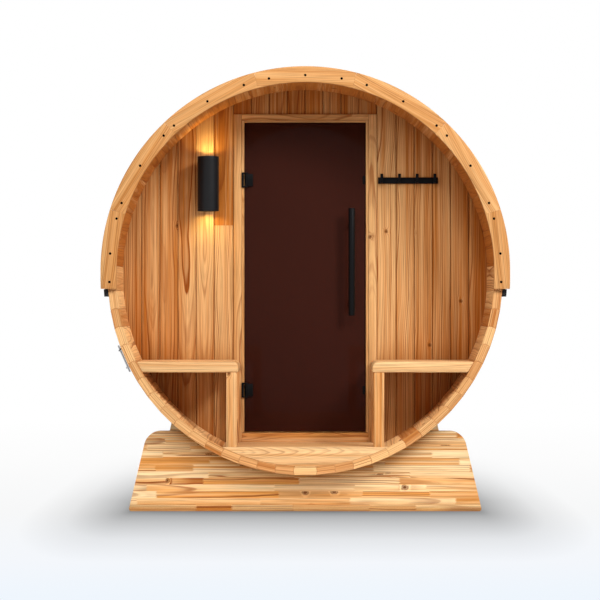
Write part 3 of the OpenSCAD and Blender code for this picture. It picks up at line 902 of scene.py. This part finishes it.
def build_frame_and_benches():
    """The door's frame, the porch benches and the floors, in paler and deeper boards."""
    timber_copy("door_jamb_left", Z, X, "trim_wood", 2 * MM, 0.15)
    timber_copy("door_jamb_right", Z, X, "trim_wood", 2 * MM, 0.05)
    build_beads()
    timber_copy("door_head", X, Z, "trim_wood", 2 * MM, 0.6)
    timber_copy("door_sill", X, Z, "floor_wood", 2 * MM, 0.7)
    for side, seat_tone, leg_tone in (("left", 0.15, 0.4), ("right", 0.0, 0.75)):
        planked_copy("bench_seat_" + side, X, Y, "bench_wood", BENCH_GAP, 6 * MM, seat_tone)
        timber_copy("bench_legs_" + side, Z, X, "bench_wood", 1.5 * MM, leg_tone)
    timber_copy("porch_kickboard", X, Z, "floor_wood", MM, 0.1)
    planked_copy("porch_floor", X, Y, "floor_wood", FLOOR_GAP, MM, 0.3)
    planked_copy("cabin_floor", Y, X, "floor_wood", FLOOR_GAP, MM, 0.4)


# ---- cradles

SADDLE_R = BARREL_R + 0.3 * MM
SADDLE_CHORDS = 6


def clip_half(polygon, origin, normal):
    """The part of a polygon on the side of a line that the normal points away from."""
    out = []
    for i, p in enumerate(polygon):
        q = polygon[i - 1]
        beyond_p, beyond_q = (p - origin).dot(normal), (q - origin).dot(normal)
        if (beyond_p <= 0) != (beyond_q <= 0):
            out.append(q.lerp(p, beyond_q / (beyond_q - beyond_p)))
        if beyond_p <= 0:
            out.append(p)
    return out


def cradle_border(node):
    """The convex outline of a cradle without its saddle, as [x, z] points in order."""
    points = np.unique(np.vstack(solids(node))[:, [0, 2]].round(5), axis=0)
    hub = np.array([0, HUB_Z])
    points = points[np.hypot(*(points - hub).T) > BARREL_R + 2 * MM]
    points = points[(points[:, 0] != 0)]
    centre = np.array([0, points[:, 1].mean()])
    order = np.argsort(np.arctan2(points[:, 1] - centre[1], points[:, 0]))
    return [Vector(p) for p in points[order]]


def build_cradle(node):
    """A glued panel: rows of strips, each of several lengths with finger joints."""
    timber = Timber(node)
    rng = timber.random
    low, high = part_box(node)
    border = cradle_border(node)
    rows = round((high.z - low.z) / STRIP_H)
    strip = (high.z - low.z) / rows
    points = 2 * FINGER_TEETH

    def finger(x, z0):
        """A zigzag from the bottom to the top of a strip."""
        return [Vector((x + (FINGER if k % 2 else -FINGER), z0 + strip * k / points))
                for k in range(points + 1)]

    for row in range(rows):
        z0 = low.z + strip * row
        x = low.x - rng.uniform(0.05, 0.5)
        left = finger(x, z0)
        while x < high.x:
            x += rng.uniform(0.16, 0.62)
            right = finger(x, z0)
            polygon = left + right[::-1]
            left = right
            for a, b in zip(border, border[1:] + border[:1]):
                way = (b - a).normalized()
                polygon = clip_half(polygon, a, Vector((way.y, -way.x)))
            if not polygon:
                continue
            for part in cut_saddle(polygon):
                timber.add(extruded(part, (low.y, high.y)), X, Z)
    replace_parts(timber.finish(node + "_strips", "cradle_wood"), node)


def cut_saddle(polygon):
    """What is left of a strip's block outside the barrel's round saddle."""
    if all(abs(p.x) >= SADDLE_R or p.y <= rim_height(p.x, SADDLE_R, False) for p in polygon):
        return [polygon]
    parts = []
    for side in (-1, 1):
        half = clip_half(polygon, Vector((0, 0)), Vector((-side, 0)))
        if not half:
            continue
        z0, z1 = min(p.y for p in half), max(p.y for p in half)

        def on_saddle(z):
            """The saddle's point at a height, on this side."""
            return Vector((side * sqrt(max(SADDLE_R ** 2 - (HUB_Z - z) ** 2, 0)), z))

        # the saddle is nearly straight across a thin strip, so a few short chords follow it
        for i in range(SADDLE_CHORDS):
            a = on_saddle(z0 + (z1 - z0) * i / SADDLE_CHORDS)
            b = on_saddle(z0 + (z1 - z0) * (i + 1) / SADDLE_CHORDS)
            band = clip_half(half, Vector((0, b.y)), Vector((0, 1)))
            band = clip_half(band, Vector((0, a.y)), Vector((0, -1)))
            way = (b - a).normalized()
            band = clip_half(band, a, Vector((-way.y, way.x)) * side)
            if len(band) > 2:
                parts.append(band)
    return parts


# ---- roof

SKIN_IN = BARREL_R + 2.1 * MM
ROOF_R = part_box("roof_right")[1].z - CROWN_Z


def roof_spot(side, turn, radius):
    """A point [x, z] of the roof, at an angle from the ridge."""
    x, z = rim_point(pi - turn, radius)
    return side * x, z


def build_roof():
    """Courses of shingles on an underlay, with a bar along the eaves and caps on the ridge."""
    rng = random.Random("roof")
    # from the ridge to the eaves, along the roof's outer curve
    reach = ROOF_R * acos((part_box("roof_right")[0].z - HUB_Z) / ROOF_R)
    for side, node in ((1, "roof_right"), (-1, "roof_left")):
        timber = Timber(node)
        # the underlay, and a thicker bar along the eaves
        for outer, start, y0, y1, steps in (
            (ROOF_R - 3 * SHINGLE_T, 0.0, Y0 + MM, Y1 - MM, 60),
            (ROOF_R, reach - EAVES_BAR, Y0, Y1, 4),
        ):
            turns = [(start + (reach - start) * i / steps) / ROOF_R for i in range(steps + 1)]
            profile = []
            for r, order in ((outer, turns), (SKIN_IN, reversed(turns))):
                for turn in order:
                    x, z = roof_spot(side, turn, r)
                    profile.append((x if turn else side * 0.2 * MM, z))
            timber.add(extruded(profile, (y0, y1)), Y, X, tone=0.5)
        # courses of shingles from the eaves up, each over the one below
        courses = ceil((reach - 20 * MM) / SHINGLE_RISE)
        for c in range(courses):
            s1 = reach - 4 * MM - c * SHINGLE_RISE
            s0 = max(s1 - SHINGLE_RISE - SHINGLE_LAP, MM)
            y = Y0 - (c % 2) * SHINGLE_TAB / 2 + rng.uniform(-10 * MM, 10 * MM)
            while y < Y1:
                ya = max(y + SHINGLE_SLOT / 2, Y0)
                yb = min(y + SHINGLE_TAB - SHINGLE_SLOT / 2, Y1)
                if yb - ya > 20 * MM:
                    shingle(timber, side, s0, s1, ya, yb, rng)
                y += SHINGLE_TAB
        # ridge caps, half on each side
        y = Y0
        while y < Y1 - 10 * MM:
            yb = min(y + RIDGE_CAP, Y1)
            shingle(timber, side, 0.2 * MM, RIDGE_REACH, y, yb, rng, cap=True)
            y = yb
        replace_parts(timber.finish(node + "_shingles", "roofing", sharp=25), node)


def shingle(timber, side, s0, s1, y0, y1, rng, cap=False):
    """A tab that tucks under the course above, or a cap that lies level over the ridge."""
    steps = 6
    top, low = [], []
    for i in range(steps + 1):
        share = i / steps
        if cap:
            outer, inner = ROOF_R - 0.3 * MM, ROOF_R - SHINGLE_T
        else:
            inner = ROOF_R - 3 * SHINGLE_T + SHINGLE_T * 0.9 * share
            outer = inner + SHINGLE_T * 0.9
        turn = (s0 + (s1 - s0) * share) / ROOF_R
        top.append(roof_spot(side, turn, outer))
        low.append(roof_spot(side, turn, inner))
    timber.add(extruded(top + low[::-1], (y0, y1)), Y, X, tone=rng.random())


# ---- door and fittings


def build_metalwork():
    """The door's fittings, the lamp's bracket, and the rail with its hooks."""
    for node, material, bevel, body in (
        ("hinge_leaves", BLACK, 1.2, "root"),
        ("hook_rail", BLACK, 1.2, "root"),
        ("lamp_bracket", BLACK, 1.2, "root"),
        ("hinge_clamps", BLACK, 1.2, "door"),
        ("door_catches", BLACK, 1.2, "door"),
        ("door_handle", BLACK_GLOSS, 1.5, "door"),
        ("handle_standoffs", BLACK_GLOSS, 1.5, "door"),
        ("coat_hooks", BLACK, 1.0, "root"),
    ):
        metal_copy(node, material, bevel * MM, body)


def build_glass():
    """The door's pane, with ground edges."""
    mesh = to_mesh("door_glass", clean_copy("door_glass", MM))
    pane = make_object("door_glass_pane", mesh, GLASS, "door")
    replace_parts(pane, "door_glass")


def lathe(name, profile, centre, material, sides=64):
    """A closed profile of (radius, height) turned round an upright axis."""
    built = bmesh.new()
    turned(built, profile, (centre.x, centre.y, 0), X, Y, Z, sides)
    bmesh.ops.recalc_face_normals(built, faces=built.faces)
    return make_object(name, to_mesh(name, built), material)


def build_lamp():
    """An upright tube that is open at both ends, with a groove near each rim and two lenses."""
    low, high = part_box("wall_lamp")
    centre = (low + high) / 2
    r = (high.x - low.x) / 2
    wall, lip = 2.5 * MM, 1.2 * MM
    rim = 9 * MM
    end = [(0, 0.09), (r - wall, 0.09), (r - wall, 0.3 * MM), (r - wall + 0.3 * MM, 0),
           (r - lip * 0.4, 0), (r, lip), (r, rim), (r - 0.5 * MM, rim + 0.3 * MM),
           (r - 0.5 * MM, rim + 1.2 * MM), (r, rim + 1.5 * MM)]
    body = [(x, low.z + z) for x, z in end] + [(x, high.z - z) for x, z in reversed(end)]
    tube = lathe("wall_lamp_body", body, centre, LAMP_BLACK, sides=96)
    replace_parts(tube, "wall_lamp")
    lens_r = r - wall - 0.2 * MM
    names = "lamp_lens_lower", "lamp_lens_upper"
    for name, (z0, z1) in zip(names, z_ranges("lamp_lenses")):
        profile = [(0, z0), (lens_r, z0), (lens_r, z1), (0, z1)]
        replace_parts(lathe(name, profile, centre, LENS), "lamp_lenses")


# ---- build

build_staves()
build_bands()
build_arch("arch_front")
build_arch("arch_rear")
build_front_wall()
build_rear_wall()
build_frame_and_benches()
build_cradle("cradle_front")
build_cradle("cradle_rear")
build_roof()
build_metalwork()
build_glass()
build_lamp()

# ---- stage

FLOOR_HALF = 40
SHADOW_BESIDE, SHADOW_BEFORE = 0.24, 0.95   # how far the cradle's soft shadow reaches
WHITE = (1, 1, 1)
PORCH = Vector((0, -0.9, 0.95))    # what the lights on the front aim at


def sees_background(g):
    """1 for rays that show the pale background: straight, reflected or through glass."""
    path = g.add("LightPath")
    seen = path.outputs["Is Camera Ray"]
    for ray in ("Is Glossy Ray", "Is Transmission Ray"):
        seen = g.math("MAXIMUM", seen, path.outputs[ray])
    return seen


def stage_floor():
    """A pale floor that fades to plain white away from the sauna, with a soft contact shadow."""
    mesh = bpy.data.meshes.new("stage_floor")
    corners = [(x * FLOOR_HALF, y * FLOOR_HALF, 0) for x, y in ((-1, -1), (1, -1), (1, 1), (-1, 1))]
    mesh.from_pydata(corners, [], [(0, 1, 2, 3)])
    g = Graph("stage_floor")
    g.set(Base_Color=(0.80, 0.80, 0.80), Roughness=0.9, Specular_IOR_Level=0.0)
    x, y, _ = g.split(g.add("NewGeometry").outputs["Position"])
    aside = g.math("ABSOLUTE", x)
    # a cool grey just in front of the sauna, and white behind it and far away
    far = g.affine(y, 0.05, 0.6, clamp=True)
    tint = g.ramp(far, [(0.1, WHITE), (0.4, (0.86, 0.92, 0.985)), (0.45, (0.905, 0.93, 0.97)),
                        (0.54, (0.93, 0.935, 0.94)), (0.7, (0.975, 0.975, 0.975)), (0.9, WHITE)])
    wide = g.curve(g.affine(aside, 0.1, 0.0, clamp=True), [(0.3, 0.0), (1.0, 1.0)])
    tint = g.mix(wide, tint, WHITE)
    # the soft shadow in front of the cradle and beside it, weaker towards the back
    low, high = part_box("cradle_front")
    beside = g.math("MAXIMUM", g.math("SUBTRACT", aside, high.x - 0.02), 0.0)
    beside = g.math("DIVIDE", beside, SHADOW_BESIDE)
    before = g.math("MAXIMUM", g.math("SUBTRACT", low.y, y), 0.0)
    before = g.math("DIVIDE", before, SHADOW_BEFORE)
    soft = g.curve(g.times(g.hypotenuse(beside, before), 0.5),
                   [(0.0, 0.70), (0.125, 0.52), (0.26, 0.40), (0.42, 0.28), (0.6, 0.145),
                    (0.8, 0.07), (1.0, 0.0)])
    front = g.curve(g.affine(y, 0.25, 0.375, clamp=True),
                    [(0.0, 1.0), (0.22, 1.0), (0.375, 0.75), (0.68, 0.25), (1.0, 0.0)])
    shade = g.math("SUBTRACT", 1.0, g.times(soft, front))
    contact = g.curve(g.near_to(0.4, 16), [(0.0, 0.35), (0.5, 0.9), (0.8, 1.0), (1.0, 1.0)])
    shade = g.times(shade, contact)
    shade = g.combine(shade, shade, shade)
    glow = g.add("Emission", {"Color": g.tint(tint, shade)})
    # what is seen is the painted shade, and what lights the sauna is a plain grey floor
    both = {0: sees_background(g), 1: g.shader.outputs[0], 2: glow.outputs[0]}
    g.put(g.output.inputs["Surface"], g.add("MixShader", both).outputs[0])
    mesh.materials.append(g.owner)
    place_object("stage_floor", mesh)


def world():
    """White where it is seen, and a dim warm light on everything else."""
    g = Graph("studio", bpy.data.worlds, "Background", "OutputWorld")
    g.set(Color=g.mix(sees_background(g), (0.062, 0.046, 0.022), WHITE))
    bpy.context.scene.world = g.owner


def camera():
    """The photo's view: straight from the front, at chest height, through a long lens."""
    data = bpy.data.cameras.new("camera")
    data.sensor_width = 36
    data.lens = 125
    data.clip_end = 100
    obj = place_object("camera", data)
    obj.location = (-0.0245, -10.87, 0.9887)
    obj.rotation_euler = (pi / 2, 0, 0)
    bpy.context.scene.camera = obj


def area_light(name, place, target, size, power, glossy=False, **settings):
    """A light at a place that faces a target. glossy says whether reflections show it."""
    data = bpy.data.lights.new(name, "AREA")
    data.size = size
    data.energy = power
    for key, value in settings.items():
        setattr(data, key, value)
    obj = place_object(name, data)
    obj.location = place
    obj.rotation_euler = (Vector(target) - Vector(place)).to_track_quat("-Z", "Y").to_euler()
    obj.visible_camera = False
    obj.visible_glossy = glossy


def around(azimuth, elevation, distance):
    """A place for a light, seen from the porch."""
    a, e = radians(azimuth), radians(elevation)
    way = Vector((sin(a) * cos(e), -cos(a) * cos(e), sin(e)))
    return PORCH + way * distance


def studio_lights():
    """A key light from the right, softer ones round it, and one behind the sauna."""
    area_light("key", around(42, 34, 7), PORCH, 1.6, 325, glossy=True)
    area_light("front", around(8, 38, 7), PORCH, 2.2, 150)
    area_light("fill", around(-28, 38, 7), PORCH, 4.0, 185)
    area_light("low", (0, -4.2, 0.62), (0, -1, 0.06), 1.9, 0.65, shape="RECTANGLE", size_y=0.1,
               spread=radians(14))
    area_light("back", around(200, 40, 8), (0, 0, 1), 3.0, 300)


def lamp_lights():
    """Warm light out of the lamp's two ends, close to the wall."""
    low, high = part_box("wall_lamp")
    x, y = (low.x + high.x) / 2, high.y - 18 * MM
    for name, z, way in (("glow_down", low.z - MM, -1), ("glow_up", high.z + MM, 1)):
        area_light(name, (x, y, z), (x, y, z + way), 24 * MM, 0.2, glossy=True,
                   color=(1, 0.96, 0.42), shape="DISK", spread=radians(150))


stage_floor()
world()
camera()
studio_lights()
lamp_lights()
bpy.context.scene.view_settings.view_transform = "Standard"
